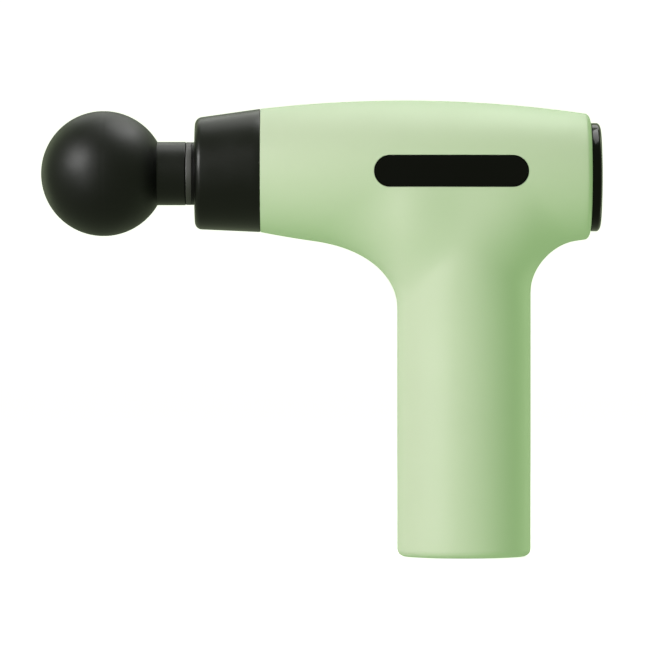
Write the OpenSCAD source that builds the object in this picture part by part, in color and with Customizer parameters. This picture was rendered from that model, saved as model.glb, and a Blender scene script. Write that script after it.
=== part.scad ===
// Handheld percussion massage gun with a ball head.
// The origin is the centre of the handle's foot. +Z is up, the head points along -X,
// and the two half shells meet on the plane y = 0.

/* [Barrel] */
// Highest point of the barrel above the foot
barrel_h = 164; // [162:0.5:167]
// Where that highest point lies
crown_x = -21.4; // [-24:0.1:-18]
// Radius of the barrel's upper line
crown_r = 450; // [420:10:500]
// Lowest point of the barrel's lower line
belly_z = 110.1; // [108:0.1:112]
// Where that lowest point lies
belly_x = -7.2; // [-10:0.1:-4]
// Radius of the barrel's lower line
belly_r = 333.5; // [310:0.5:360]
// Front edge of the half shells
front_x = -73.2; // [-75:0.1:-71]
// Rear face of the half shells
rear_x = 45.5; // [44.5:0.1:46]
// How far the rounding of the rear edge draws in
rear_edge = 3.2; // [2.5:0.1:3.6]
// How long that rounding is along the barrel
rear_edge_l = 1.9; // [1.5:0.1:2.4]

/* [Handle] */
// Width of the handle, front to back
handle_w = 48; // [47:0.1:50]
// Depth of the handle, side to side
handle_d = 48; // [46:0.1:49]
// Rounding of the foot
foot_edge = 2.7; // [2:0.1:4]
// Wall of the half shells
wall = 2.4; // [2:0.1:2.5]

/* [Blends] */
// Size of the fillet in front of the handle
front_blend = 30; // [26:0.5:34]
// Size of the fillet behind the handle
rear_blend = 22; // [20:0.5:24]
// Size of the fillet at the sides
side_blend = 14; // [10:0.5:16]

/* [Nose and sleeve] */
// Height of the sleeve's axis
axis_z = 137.7; // [137.2:0.1:138.2]
// Front face of the nose
nose_x = -96.8; // [-97.2:0.1:-96.4]
// Radius of the nose's front
nose_r = 20; // [19:0.1:21]
// Outer radius of the moving sleeve
sleeve_r = 11.3; // [11:0.05:11.5]
// Radius of the socket that holds the massage heads
socket_r = 9; // [8.8:0.05:9.2]

/* [Rear end] */
// Radius of the rear cap
cap_r = 19.5; // [19:0.1:20]
// Height of the rear cap's centre
cap_z = 136.4; // [136:0.1:137]
// Outermost point of the rear cap
cap_x = 49.7; // [49.4:0.1:50]
// Radius of the power button
button_r = 5.5; // [4.5:0.1:6]

/* [Side inlays] */
// Length of an inlay
inlay_l = 55.1; // [50:0.1:60]
// Height of an inlay
inlay_h = 11.3; // [10:0.1:12]
// Middle of an inlay along the barrel
inlay_x = -5; // [-7:0.1:-2]
// Height of an inlay's middle
inlay_z = 138; // [137:0.1:140]

/* [Massage head] */
// Radius of the ball
ball_r = 22.5; // [20:0.1:25]
// Middle of the ball along the barrel
ball_x = -129.7; // [-131:0.1:-129]
// Radius of the neck
neck_r = 11.4; // [11:0.05:11.4]

/* [Drive] */
// Distance of the crank pin from the crank's axis
crank_throw = 5.5; // [5:0.1:5.5]
// Radius of the roller on the crank pin
roller_r = 6; // [5.8:0.1:6]
// Gap between the roller and the yoke's slot
roller_gap = 0.3; // [0.3:0.01:0.35]
// Radius of the motor's can
motor_r = 18; // [17.5:0.1:18]

/* [Battery] */
// Radius of a cell
cell_r = 9.15; // [9:0.05:9.2]
// Length of a cell
cell_l = 65; // [64:0.5:65.5]

/* [Hidden] */

$fn = 72;
slack = 0.2;
run_gap = 0.05;
half_w = handle_w / 2;
half_d = handle_d / 2;

// Grid of the body's surface: columns in front of, across and behind the handle, and rows
front_cols = 11;
handle_cols = 12;
rear_cols = 6;
edge_cols = 3;
foot_rows = 3;
handle_rows = 4;
barrel_rows = 16;

// Above this height the handle fades out of the barrel, at this rate
lift_z = 112;
lift_rate = 0.022;
// From this height up the handle's sides widen to the barrel's girth
flare_z = 80;
// The swell that carries the handle's sides smoothly into the barrel: share of girth, height, reach
swell_share = 0.1;
swell_z = 106;
swell_h = 34;

// Seam between nose and shells
nose_seam = 0.15;
nose_edge = 2.4;
seal_r = neck_r + 0.4;
seal_outer = 14.2;

// Heights of the drive
plate_z = 119.5;
plate_t = 3;
disc_z = 124.8;
disc_t = 6.5;
pin_top = 141.7;
roller_z = 135.5;
roller_t = 4.4;
slot_half = roller_r + roller_gap;
shaft_r = 2.5;
motor_z = 90;
can_t = 1.2;

// Sleeve and its frame
sleeve_front = -97.8;
sleeve_rear = -28;
socket_depth = 16;
bush_r = sleeve_r + run_gap;
bush_outer = bush_r + 1.85;
frame_r = 16;
frame_front = -90;
frame_rear = -31;
bush_l = 12;

// Battery
cell_z = 14.5;
cell_ring = (2 * cell_r + slack) / sqrt(3);

// Base cover and charging port
foot_plate_r = 16;
port_x = 8.5;
port_w = 8.9;
port_t = 3.2;

// Rear cap
cap_base = rear_x + 0.1;
cap_edge = 2.6;
cap_edge_l = 1.6;
cap_crown_r = 260;
lens_x = cap_base + 2;
lens_r = 14.6;
display_x = 39;
board_x = 27;
inlay_t = 1.2;

// Yoke's plug in the sleeve, and the pin across both
yoke_plug_r = 8.5;
pin_r = 1.5;
pin_x = sleeve_rear - 4;

// Head: its neck ends where the socket starts, and its stem goes into the socket
head_x = sleeve_front - 2.2;
neck_x = -110.4;
stem_r = 8.65;
stem_end = head_x + 13.5;
stem_bore = 5.5;
knob_r = 11;
rib_places = [head_x + 3, head_x + 6.5, head_x + 10];

// Screws that join the half shells: [x, z]
shell_bosses = [[-54, 157], [33, 154], [-50, 118.2], [0, 85.4], [-8, 8.4]];
boss_r = 3.3;
screw_r = 1.1;
screw_head_r = 2;
motor_screw_ring = 12.5;

body_green = [0.72, 0.83, 0.64];
soft_black = [0.10, 0.11, 0.10];
gloss_black = [0.06, 0.06, 0.06];
steel = [0.62, 0.62, 0.63];
cast_grey = [0.70, 0.71, 0.72];
frame_grey = [0.30, 0.31, 0.32];
rubber_grey = [0.16, 0.16, 0.17];
board_green = [0.10, 0.35, 0.18];
copper = [0.75, 0.42, 0.22];
cell_blue = [0.20, 0.42, 0.66];
white_plastic = [0.88, 0.88, 0.86];
lead_red = [0.70, 0.12, 0.10];

// ---------- shape of the body ----------

function smooth(u) = let (t = min(1, max(0, u))) t * t * (3 - 2 * t);
function mix(a, b, t) = a + (b - a) * t;

// How far a rounded edge, l long and h high, has drawn in at a distance d from its end
function edge_in(d, l, h) = let (u = max(0, 1 - d / l)) h * (1 - sqrt(1 - u * u));

function crown(x) = barrel_h - (x - crown_x) ^ 2 / (2 * crown_r);
function belly(x) = belly_z + (x - belly_x) ^ 2 / (2 * belly_r);
function barrel_mid(x) = (crown(x) + belly(x)) / 2;
function barrel_r(x) = (crown(x) - belly(x)) / 2 - edge_in(rear_x - x, rear_edge_l, rear_edge);

// Depth inside the barrel's outline and inside the handle's outline, in mm near the outline
function in_barrel(x, z) =
    let (r = barrel_r(x), d = z - barrel_mid(x)) (r * r - d * d) / (2 * r);
function handle_run(u, x) = u < 1 || x > 0 ? u * u : 2 * u - 1;
function in_handle(x, z) =
    half_w / 2 * (1 - handle_run(abs(x) / half_w, x))
    - lift_rate * max(0, z - lift_z) ^ 2 - edge_in(z, foot_edge, foot_edge);
function blend_size(x) =
    mix(side_blend, x < 0 ? front_blend : rear_blend, smooth(abs(x) / half_w));

// Half the body's thickness at a point of the middle plane, drawn in by inset
function body_half(x, z, inset) =
    let (
        b = in_barrel(x, z),
        h = in_handle(x, z),
        k = blend_size(x),
        t = (b - h) / k,
        depth = max(b, h) + max(0, 1 - abs(t)) ^ 2 * k / 4 - inset,
        hold = smooth(0.5 - t / 2),
        slim = (1 - smooth((z - flare_z) / (barrel_mid(x) - flare_z))) * hold,
        swell = 1 + swell_share * smooth(1 - abs(z - swell_z) / swell_h) * hold,
        girth = mix(2 * barrel_r(x), 2 * half_d ^ 2 / half_w, slim) * swell
    )
    sqrt(max(0, depth * girth));

// The body's outline, drawn in by inset: its top, its underside and the handle's half width
function top_line(x, inset) =
    let (r = barrel_r(x)) barrel_mid(x) + sqrt(r * r - 2 * r * inset);
function under_line(x, inset) =
    let (
        r = barrel_r(x),
        k = blend_size(x),
        h = half_w / 2 * (1 - handle_run(abs(x) / half_w, x)),
        need = max(0, inset - h),
        b = need > k ? inset : h - k + 2 * sqrt(k * need)
    )
    barrel_mid(x) - sqrt(r * r - 2 * r * b);
function handle_half(z, inset) =
    sqrt(half_w ^ 2 - 2 * half_w * (inset + edge_in(z, foot_edge, foot_edge)));

// One column of the surface, as [x, half thickness, z] from the foot to the top.
// s places the column across the handle, -1 at its front and 1 at its rear.
function handle_column(s, inset) =
    let (
        floor_z = inset,
        a = handle_half(foot_edge, inset),
        split = mix(under_line(-a, inset), under_line(a, inset), (s + 1) / 2),
        top = top_line(s * a, inset),
        edge = abs(s) > 0.999,
        low = [
            for (j = [0:foot_rows - 1])
                floor_z + (max(foot_edge, inset + 1) - floor_z) * (1 - cos(90 * j / foot_rows)),
            for (j = [0:handle_rows - 1])
                mix(max(foot_edge, inset + 1), split, j / handle_rows)
        ]
    )
    [
        for (z = low)
            let (x = s * handle_half(z, inset)) [x, edge ? 0 : body_half(x, z, inset), z],
        for (j = [0:barrel_rows])
            let (z = mix(split, top, (1 - cos(180 * j / barrel_rows)) / 2))
                [s * a, j == barrel_rows || (j == 0 && edge) ? 0 : body_half(s * a, z, inset), z]
    ];

function barrel_column(x, inset) =
    let (low = under_line(x, inset), top = top_line(x, inset))
    [
        for (j = [1:foot_rows + handle_rows]) [x, 0, low],
        for (j = [0:barrel_rows])
            let (z = mix(low, top, (1 - cos(180 * j / barrel_rows)) / 2))
                [x, j == 0 || j == barrel_rows ? 0 : body_half(x, z, inset), z]
    ];

function mirrored(p) = [p[0], 0 - p[1], p[2]];

function has_area(a, b, c) = min(norm(a - b), norm(b - c), norm(c - a)) > 1e-6;

// The two triangles of a quad, leaving out any that has no area
function quad(a, b, c, d) = [
    if (has_area(a, b, c)) [a, c, b],
    if (has_area(a, c, d)) [a, d, c]
];

// The whole body as one closed skin, drawn in by inset, from its open front to the plane rear
module body_form(inset, front, rear) {
    low_rows = foot_rows + handle_rows;
    reach = handle_half(foot_edge, inset);
    straight = rear - rear_edge_l;
    columns = [
        for (i = [front_cols:-1:1])
            barrel_column(-reach - (-reach - front) * (i / front_cols) ^ 2, inset),
        for (i = [0:handle_cols]) handle_column(-cos(180 * i / handle_cols), inset),
        for (i = [1:rear_cols])
            barrel_column(reach + (straight - reach) * (i / rear_cols) ^ 1.6, inset),
        for (i = [1:edge_cols])
            barrel_column(straight + rear_edge_l * sin(90 * i / edge_cols), inset)
    ];
    last = len(columns) - 1;
    rows = len(columns[0]) - 1;
    triangles = [
        for (i = [0:last - 1], j = [0:rows - 1])
            let (in_handle_cols = i >= front_cols && i < front_cols + handle_cols)
                if (j >= low_rows || in_handle_cols)
                    let (
                        a = columns[i][j],
                        b = columns[i][j + 1],
                        c = columns[i + 1][j + 1],
                        d = columns[i + 1][j]
                    )
                    each concat(
                        quad(a, b, c, d),
                        quad(mirrored(a), mirrored(d), mirrored(c), mirrored(b))
                    ),
        for (j = [low_rows:rows - 1])
            let (a = columns[0][j], b = columns[0][j + 1])
                each quad(mirrored(a), mirrored(b), b, a),
        for (j = [low_rows:rows - 1])
            let (a = columns[last][j], b = columns[last][j + 1])
                each quad(a, b, mirrored(b), mirrored(a)),
        for (i = [front_cols:front_cols + handle_cols - 1])
            let (a = columns[i][0], b = columns[i + 1][0])
                each quad(a, b, mirrored(b), mirrored(a))
    ];
    polyhedron(
        points = [for (t = triangles) each t],
        faces = [for (i = [0:len(triangles) - 1]) [3 * i, 3 * i + 1, 3 * i + 2]]
    );
}

// ---------- building blocks ----------

// Joins its children into one continuous skin
module one_skin() {
    resize([0, 0, 0]) children();
}

// A turned piece along X: children draw [radius, x] from the axis at height z
module turned(z, y = 0) {
    translate([0, y, z]) rotate([0, 90, 0]) rotate_extrude() children();
}

// A rod or a ring along X between two places
module rod_x(x0, x1, r, z = axis_z, y = 0) {
    translate([x0, y, z]) rotate([0, 90, 0]) cylinder(r = r, h = x1 - x0);
}

module ring_x(x0, x1, r, bore, z = axis_z, y = 0) {
    difference() {
        rod_x(x0, x1, r, z, y);
        rod_x(x0 - 1, x1 + 1, bore, z, y);
    }
}

module rod_y(y0, y1, r, x, z) {
    translate([x, y0, z]) rotate([-90, 0, 0]) cylinder(r = r, h = y1 - y0);
}

module ring_z(z0, z1, r, bore) {
    translate([0, 0, z0]) difference() {
        cylinder(r = r, h = z1 - z0);
        translate([0, 0, -1]) cylinder(r = bore, h = z1 - z0 + 2);
    }
}

// A box given by its lowest and highest corners
module block(low, high) {
    translate(low) cube(high - low);
}

// A flat shape with half-round ends, l long along X and w wide
module stadium(l, w) {
    square([l - w, w], center = true);
    for (side = [-1, 1]) translate([side * (l - w) / 2, 0]) circle(d = w);
}

// Points of a round with radii rx and ry about [cx, cy], from angle a0 to a1
function arc(cx, cy, rx, ry, a0, a1, n = 6) =
    [for (i = [0:n]) let (a = mix(a0, a1, i / n)) [cx + rx * cos(a), cy + ry * sin(a)]];

// A closed skin through rings of points, each turning right-handed about the way ahead
module skin(rings) {
    n = len(rings[0]);
    last = len(rings) - 1;
    polyhedron(
        points = [for (ring = rings) each ring],
        faces = concat(
            [[for (k = [0:n - 1]) k]],
            [
                for (i = [0:last - 1], k = [0:n - 1])
                    let (a = i * n + k, b = i * n + (k + 1) % n)
                        each [[a, a + n, b], [b, a + n, b + n]]
            ],
            [[for (k = [n - 1:-1:0]) last * n + k]]
        )
    );
}

// A round wire of radius r swept along a route
module wire(route, r) {
    sides = 8;
    last = len(route) - 1;
    skin([
        for (i = [0:last])
            let (
                along = route[min(last, i + 1)] - route[max(0, i - 1)],
                ahead = along / norm(along),
                side = cross(ahead, [0, 1, 0]),
                u = side / norm(side),
                v = cross(ahead, u)
            )
            [for (k = [0:sides - 1]) let (t = 360 * k / sides) route[i] + r * (cos(t) * u + sin(t) * v)]
    ]);
}

// A skin through round stations along X, each [x, height of its centre, radius]
module round_skin(stations) {
    sides = 60;
    skin([
        for (s = stations)
            [for (k = [0:sides - 1]) let (t = 360 * k / sides) [s[0], s[2] * cos(t), s[1] + s[2] * sin(t)]]
    ]);
}

// ---------- housing ----------

module inlay_prism(grow) {
    translate([inlay_x, 0, inlay_z]) rotate([90, 0, 0])
        linear_extrude(height = 80, center = true) stadium(inlay_l + 2 * grow, inlay_h + 2 * grow);
}

// Keeps one side of the middle plane: side is -1 for the left shell and 1 for the right
module one_side(side) {
    low_y = side < 0 ? -60 : slack / 4;
    high_y = side < 0 ? -slack / 4 : 60;
    intersection() {
        children();
        block([-120, low_y, -10], [80, high_y, 200]);
    }
}

module shell_bosses_form() {
    for (p = shell_bosses) rod_y(-30, 30, boss_r, p[0], p[1]);
}

// The skin of both shells, hollow, with the openings at its front, rear and foot
module shell_skin() {
    difference() {
        body_form(0, front_x, rear_x);
        difference() {
            body_form(wall, front_x - 1, rear_x - wall);
            shell_bosses_form();
        }
        rod_x(rear_x - 9, rear_x + 9, cap_r - 2.2, cap_z);
        translate([0, 0, -1]) cylinder(r = foot_plate_r + slack, h = wall + 2);
        difference() {
            inlay_prism(slack);
            body_form(inlay_t + slack, front_x - 1, rear_x);
        }
        for (p = shell_bosses) {
            rod_y(-14, 60, screw_r, p[0], p[1]);
            rod_y(5, 60, screw_head_r + slack, p[0], p[1]);
        }
    }
}

module left_shell() {
    color(body_green) one_skin() one_side(-1) shell_skin();
}

module right_shell() {
    color(body_green) one_skin() one_side(1) shell_skin();
}

module inlay(side) {
    one_skin() one_side(side) difference() {
        intersection() {
            body_form(0, front_x, rear_x);
            inlay_prism(0);
        }
        body_form(inlay_t, front_x - 1, rear_x);
    }
}

module left_inlay() {
    color(gloss_black) inlay(-1);
}

module right_inlay() {
    color(gloss_black) inlay(1);
}

// The nose leans a little, because its rear centre is higher than its front centre
function nose_mid(x) = mix(axis_z, barrel_mid(front_x), (x - nose_x) / (front_x - nose_x));
function nose_radius(x) = mix(nose_r, barrel_r(front_x), (x - nose_x) / (front_x - nose_x));

module nose_cone() {
    rear = front_x - nose_seam;
    spigot_rear = front_x + 4;
    color(soft_black) one_skin() difference() {
        union() {
            round_skin([
                for (p = arc(0, 0, nose_edge, nose_edge, 180, 90, 5))
                    let (x = nose_x + nose_edge + p[0])
                        [x, nose_mid(x), nose_radius(x) - nose_edge + p[1]],
                [rear, nose_mid(rear), nose_radius(rear)]
            ]);
            round_skin([
                [rear - 1, nose_mid(rear), nose_radius(rear) - wall - slack],
                [spigot_rear, nose_mid(rear), nose_radius(rear) - wall - slack]
            ]);
        }
        round_skin([
            [nose_x + 4.8, axis_z, nose_r - wall],
            [rear, nose_mid(rear), nose_radius(rear) - 2 * wall],
            [spigot_rear + 1, nose_mid(rear), nose_radius(rear) - 2 * wall]
        ]);
        rod_x(nose_x - 1, nose_x + 6, seal_outer);
    }
}

module nose_seal() {
    color(rubber_grey) turned(axis_z) polygon([
        [seal_r, nose_x + 1.4],
        [seal_outer - 0.6, nose_x + 0.8],
        [seal_outer - 0.05, nose_x + 1.4],
        [seal_outer - 0.05, nose_x + 4.6],
        [seal_r + 1, nose_x + 4.6],
        [seal_r, nose_x + 3.2]
    ]);
}

// Outer surface of the cap: a shallow crown with a round edge
function cap_crown(r) = cap_x - r * r / (2 * cap_crown_r);

module cap_outline() {
    edge = cap_r - cap_edge;
    polygon(concat(
        [[0, cap_base], [cap_r - 0.4, cap_base], [cap_r, cap_base + 0.4]],
        arc(edge, cap_crown(edge) - cap_edge_l, cap_edge, cap_edge_l, 0, 90),
        [for (i = [7:-1:0]) [edge * i / 8, cap_crown(edge * i / 8)]]
    ));
}

module rear_cap() {
    color(soft_black) difference() {
        union() {
            turned(cap_z) cap_outline();
            rod_x(rear_x - 4, cap_base + 0.5, cap_r - 2.4, cap_z);
        }
        rod_x(rear_x - 5, cap_base + 1, cap_r - 4, cap_z);
        rod_x(cap_base, cap_x + 1, button_r + 0.3, cap_z);
        rod_x(lens_x, cap_x + 1, lens_r + slack / 2, cap_z);
    }
}

module display_lens() {
    color(gloss_black) difference() {
        intersection() {
            turned(cap_z) cap_outline();
            rod_x(lens_x, cap_x + 1, lens_r, cap_z);
        }
        rod_x(lens_x - 1, cap_x + 1, button_r + 0.3, cap_z);
    }
}

module power_button() {
    face = cap_x - 0.35;
    color(soft_black) turned(cap_z) polygon(concat(
        [[0, rear_x - 0.6], [2, rear_x - 0.6], [2, cap_base + 0.8], [button_r, cap_base + 0.8]],
        arc(button_r - 0.5, face - 0.5, 0.5, 0.5, 0, 90, 4),
        [[button_r * 0.5, face - 0.15], [0, face - 0.25]]
    ));
}

module base_cover() {
    color(soft_black) difference() {
        union() {
            cylinder(r = foot_plate_r, h = wall + 0.1);
            translate([0, 0, wall + 0.1]) cylinder(r = foot_plate_r + 1.6, h = 1.2);
        }
        translate([port_x, 0, -1]) rotate([0, 0, 90])
            linear_extrude(height = 8) stadium(port_w + 0.4, port_t + 0.4);
    }
}

module charge_port() {
    color(steel) translate([port_x, 0, 0.5]) rotate([0, 0, 90]) {
        difference() {
            linear_extrude(height = 6.8) stadium(port_w, port_t);
            translate([0, 0, -1]) linear_extrude(height = 6.8) stadium(port_w - 0.7, port_t - 0.7);
        }
        translate([0, 0, 4]) cube([port_w - 2.6, 0.7, 6], center = true);
    }
}

module port_board() {
    color(board_green) block([port_x - 6, -7, 7.5], [port_x + 4.5, 7, 8.7]);
}

module shell_screws() {
    color(steel) for (p = shell_bosses) {
        rod_y(-9, 5.5, screw_r, p[0], p[1]);
        difference() {
            rod_y(5, 7, screw_head_r, p[0], p[1]);
            rod_y(6, 8, 0.9, p[0], p[1]);
        }
    }
}

// ---------- drive ----------

module drive_frame() {
    web = 11.5;
    color(frame_grey) difference() {
        union() {
            rod_x(frame_front, frame_rear, frame_r);
            translate([0, 0, plate_z]) cylinder(r = motor_r + 0.6, h = plate_t);
            block([frame_rear - 13, -web, plate_z], [-10, web, plate_z + plate_t]);
            block([frame_rear - 11, -web, plate_z], [frame_rear, web, plate_z + 9]);
        }
        rod_x(frame_front - 1, frame_rear + 1, bush_outer);
        translate([0, 0, plate_z - 1]) cylinder(r = shaft_r + 1.5, h = plate_t + 2);
        for (k = [0:3]) rotate([0, 0, 45 + 90 * k])
            translate([motor_screw_ring, 0, plate_z - 1]) cylinder(r = 1.65, h = plate_t + 2);
    }
}

module front_bush() {
    color(white_plastic) ring_x(frame_front, frame_front + bush_l, bush_outer, bush_r);
}

module rear_bush() {
    color(white_plastic) ring_x(frame_rear - 2 - bush_l, frame_rear - 2, bush_outer, bush_r);
}

module frame_dampers() {
    color(rubber_grey) {
        ring_x(-64, -58, 20.1, frame_r);
        ring_x(-85.5, -81.5, 16.7, frame_r);
    }
}

module motor_damper() {
    color(rubber_grey) difference() {
        ring_z(106, 111, motor_r + 1.9, motor_r);
        block([13, -20, 100], [25, 20, 120]);
    }
}

module piston_sleeve() {
    socket_end = sleeve_front + socket_depth;
    color(soft_black) difference() {
        union() {
            rod_x(sleeve_front, sleeve_rear, sleeve_r);
            rod_x(sleeve_front - 1.4, sleeve_front + 1, sleeve_r - 0.9);
        }
        rod_x(sleeve_front - 5, socket_end, socket_r);
        rod_x(socket_end + 3, sleeve_rear + 1, yoke_plug_r);
        rod_y(-20, 20, pin_r, pin_x, axis_z);
    }
}

module socket_ring() {
    color(steel) turned(axis_z) polygon([
        [socket_r, sleeve_front - 2.2],
        [sleeve_r - 0.3, sleeve_front - 2.2],
        [sleeve_r, sleeve_front - 1.9],
        [sleeve_r, sleeve_front],
        [sleeve_r - 0.9, sleeve_front],
        [sleeve_r - 0.9, sleeve_front - 1.4],
        [socket_r, sleeve_front - 1.4]
    ]);
}

module yoke() {
    thick = 7;
    outer = slot_half + 3;
    reach = crank_throw + slot_half + 4;
    color(cast_grey) difference() {
        union() {
            translate([0, 0, axis_z - thick / 2]) linear_extrude(height = thick)
                rotate([0, 0, 90]) stadium(2 * reach, 2 * outer);
            block([sleeve_rear - 2, -6, axis_z - thick / 2], [-slot_half - 1, 6, axis_z + thick / 2]);
            rod_x(pin_x - 6, sleeve_rear + 2, yoke_plug_r);
        }
        translate([0, 0, axis_z - thick]) linear_extrude(height = 2 * thick)
            rotate([0, 0, 90]) stadium(2 * (crank_throw + slot_half + 0.8), 2 * slot_half);
        rod_y(-20, 20, pin_r, pin_x, axis_z);
    }
}

module yoke_pin() {
    color(steel) rod_y(-sleeve_r + 0.9, sleeve_r - 0.9, pin_r, pin_x, axis_z);
}

module crank_disc() {
    bore = shaft_r;
    color(steel) difference() {
        union() {
            translate([0, 0, disc_z]) cylinder(r = 11.5, h = disc_t);
            translate([0, 0, disc_z]) difference() {
                cylinder(r = 16.5, h = disc_t - 1);
                block([-20, -20, -1], [20, 2, disc_t + 1]);
            }
        }
        translate([0, 0, disc_z - 1]) cylinder(r = bore, h = disc_t + 2);
        translate([0, -crank_throw, disc_z - 1]) cylinder(r = 2.4, h = disc_t + 2);
    }
}

module crank_pin() {
    color(steel) translate([0, -crank_throw, 0]) {
        translate([0, 0, disc_z + 1]) cylinder(r = 2.4, h = disc_t);
        translate([0, 0, disc_z + disc_t]) cylinder(r = 4.2, h = roller_z - disc_z - disc_t - slack);
        translate([0, 0, roller_z - 1]) cylinder(r = 3, h = pin_top - roller_z + 1);
    }
}

module crank_roller() {
    color(steel) translate([0, -crank_throw, roller_z]) difference() {
        cylinder(r = roller_r, h = roller_t);
        translate([0, 0, -1]) cylinder(r = 3 + run_gap, h = roller_t + 2);
    }
}

module roller_clip() {
    color(steel) translate([0, -crank_throw, roller_z + roller_t + slack]) difference() {
        cylinder(r = 4.3, h = 0.8);
        translate([0, 0, -1]) cylinder(r = 3, h = 3);
        block([-0.8, 0, -1], [0.8, 6, 2]);
    }
}

// ---------- motor ----------

module motor_shaft() {
    color(steel) translate([0, 0, motor_z + 1.6]) cylinder(r = shaft_r, h = disc_z + disc_t - motor_z - 1.8);
}

module motor_rotor() {
    color([0.25, 0.25, 0.27]) ring_z(motor_z + 8, motor_z + 22, 10, shaft_r);
}

module motor_can() {
    color(steel) difference() {
        translate([0, 0, motor_z]) cylinder(r = motor_r, h = plate_z - 3 - motor_z);
        translate([0, 0, motor_z + can_t]) cylinder(r = motor_r - can_t, h = 40);
    }
    color(steel) ring_z(motor_z + can_t, motor_z + 5.6, 8, 6.5);
}

module motor_end_cap() {
    color(cast_grey) difference() {
        translate([0, 0, plate_z - 3]) cylinder(r = motor_r, h = 3);
        translate([0, 0, plate_z - 4]) cylinder(r = 6.5, h = 6);
        for (k = [0:3]) rotate([0, 0, 45 + 90 * k])
            translate([motor_screw_ring, 0, plate_z - 4]) cylinder(r = 1.25, h = 6);
    }
}

// A ring of nine teeth round the rotor
module motor_stator() {
    color([0.45, 0.46, 0.48]) difference() {
        translate([0, 0, motor_z + 9]) cylinder(r = motor_r - can_t, h = 12);
        translate([0, 0, motor_z + 8]) cylinder(r = 10.6, h = 14);
        for (k = [0:8]) rotate([0, 0, 40 * k])
            block([12, -2.6, motor_z + 8], [15, 2.6, motor_z + 22]);
    }
}

module motor_windings() {
    color(copper) for (k = [0:8]) rotate([0, 0, 40 * k])
        block([12.2, -2.4, motor_z + 7], [14.8, 2.4, motor_z + 23]);
}

module motor_bearings() {
    color(steel) {
        ring_z(motor_z + 1.6, motor_z + 5.6, 6.5, shaft_r);
        ring_z(plate_z - 4, plate_z - slack, 6.5, shaft_r);
    }
}

module motor_screws() {
    color(steel) for (k = [0:3]) rotate([0, 0, 45 + 90 * k]) translate([motor_screw_ring, 0, 0]) {
        translate([0, 0, plate_z - 2.8]) cylinder(r = 1.25, h = plate_t + 3);
        translate([0, 0, plate_z + plate_t]) cylinder(r = 2.4, h = 1.2);
    }
}

// ---------- battery and electronics ----------

module at_cells() {
    for (k = [0:2]) rotate([0, 0, 120 * k]) translate([cell_ring, 0, 0]) children();
}

module battery_cells() {
    color(cell_blue) at_cells() {
        translate([0, 0, cell_z]) cylinder(r = cell_r, h = cell_l);
        translate([0, 0, cell_z + cell_l - 0.5]) cylinder(r = 3, h = 1.3);
    }
}

module cell_holder(z0) {
    translate([0, 0, z0]) difference() {
        union() {
            at_cells() cylinder(r = cell_r, h = 1.5);
            cylinder(r = cell_ring, h = 1.5);
            cylinder(r = 1.2, h = 6);
        }
        at_cells() translate([0, 0, -1]) cylinder(r = 4, h = 4);
    }
}

module cell_holders() {
    color(white_plastic) {
        cell_holder(cell_z - 1.5);
        translate([0, 0, 2 * cell_z + cell_l]) mirror([0, 0, 1]) cell_holder(cell_z - 1.5);
    }
}

module cell_links() {
    color(steel) for (z = [cell_z - 1.7, cell_z + cell_l + 1.5])
        translate([0, 0, z]) linear_extrude(height = 0.2) difference() {
            circle(r = cell_ring + 3);
            circle(r = cell_ring - 3);
        }
}

module main_board() {
    color(board_green) difference() {
        block([board_x, -14, 121.5], [board_x + 1.6, 14, 150.5]);
        for (y = [-11.5, 11.5], z = [124, 148]) rod_x(board_x - 1, board_x + 3, 1.2, z, y);
    }
}

module board_parts() {
    color(soft_black) {
        block([board_x - 1.4, -9, 124], [board_x, -2, 131]);
        for (y = [2, 7], z = [123, 129, 135]) block([board_x - 2, y, z], [board_x, y + 3.6, z + 4.6]);
        for (y = [-10, -2]) rod_x(board_x - 5.5, board_x, 3, 141, y);
        block([board_x - 4, 5, 142], [board_x, 12, 146]);
    }
}

module display_board() {
    color(board_green) rod_x(display_x, display_x + 1.2, cap_r - 4.3, cap_z);
}

module button_switch() {
    color(gloss_black) {
        translate([display_x + 1.2, -3, cap_z - 3]) cube([1.8, 6, 6]);
        rod_x(display_x + 2.9, rear_x - 1.2, 1.6, cap_z);
    }
}

module display_ribbon() {
    color(copper) block([board_x + 1.6, -5, 128], [display_x, 5, 128.3]);
}

module motor_leads() {
    color(lead_red) for (y = [-5, 5, 8]) {
        out = sqrt(19.8 ^ 2 - y * y);
        wire([
            [10, y, motor_z - 0.95], [13.5, y, motor_z - 1.6], [out - 0.9, y, motor_z - 1.5],
            [out, y, motor_z + 1], [out, y, 111], [21.5, y, 117], [board_x - 2.6, y, 121]
        ], 0.8);
    }
}

module battery_leads() {
    color(soft_black) for (y = [-1.4, 1.4])
        wire([
            [12, y, 82.5], [15, y, 84], [18.6, y, 87.5], [19.7, y, 92],
            [19.7, y, 111], [21.5, y, 117], [board_x - 1, y, 122]
        ], 0.9);
}

// ---------- massage head ----------

// The ball is moulded round the knob at the end of the stem
module ball() {
    color(soft_black) difference() {
        translate([ball_x, 0, axis_z]) sphere(r = ball_r);
        translate([ball_x, 0, axis_z]) sphere(r = knob_r);
        rod_x(ball_x, neck_x - 1, stem_r);
        rod_x(neck_x - 2, ball_x + ball_r + 1, neck_r);
    }
}

module head_stem() {
    color(soft_black) difference() {
        union() {
            translate([ball_x, 0, axis_z]) sphere(r = knob_r - run_gap);
            rod_x(ball_x, neck_x - 1, stem_r - run_gap);
            turned(axis_z) polygon([
                [0, neck_x - 2],
                [neck_r, neck_x - 2],
                [neck_r, head_x - 0.4],
                [neck_r - 0.4, head_x],
                [stem_r, head_x],
                [stem_r, stem_end - 0.8],
                [stem_r - 0.8, stem_end],
                [0, stem_end]
            ]);
        }
        rod_x(ball_x, stem_end + 1, stem_bore);
        for (x = rib_places) ring_x(x - 0.6, x + 0.6, stem_r + 1, stem_r - 0.8);
    }
}

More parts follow.
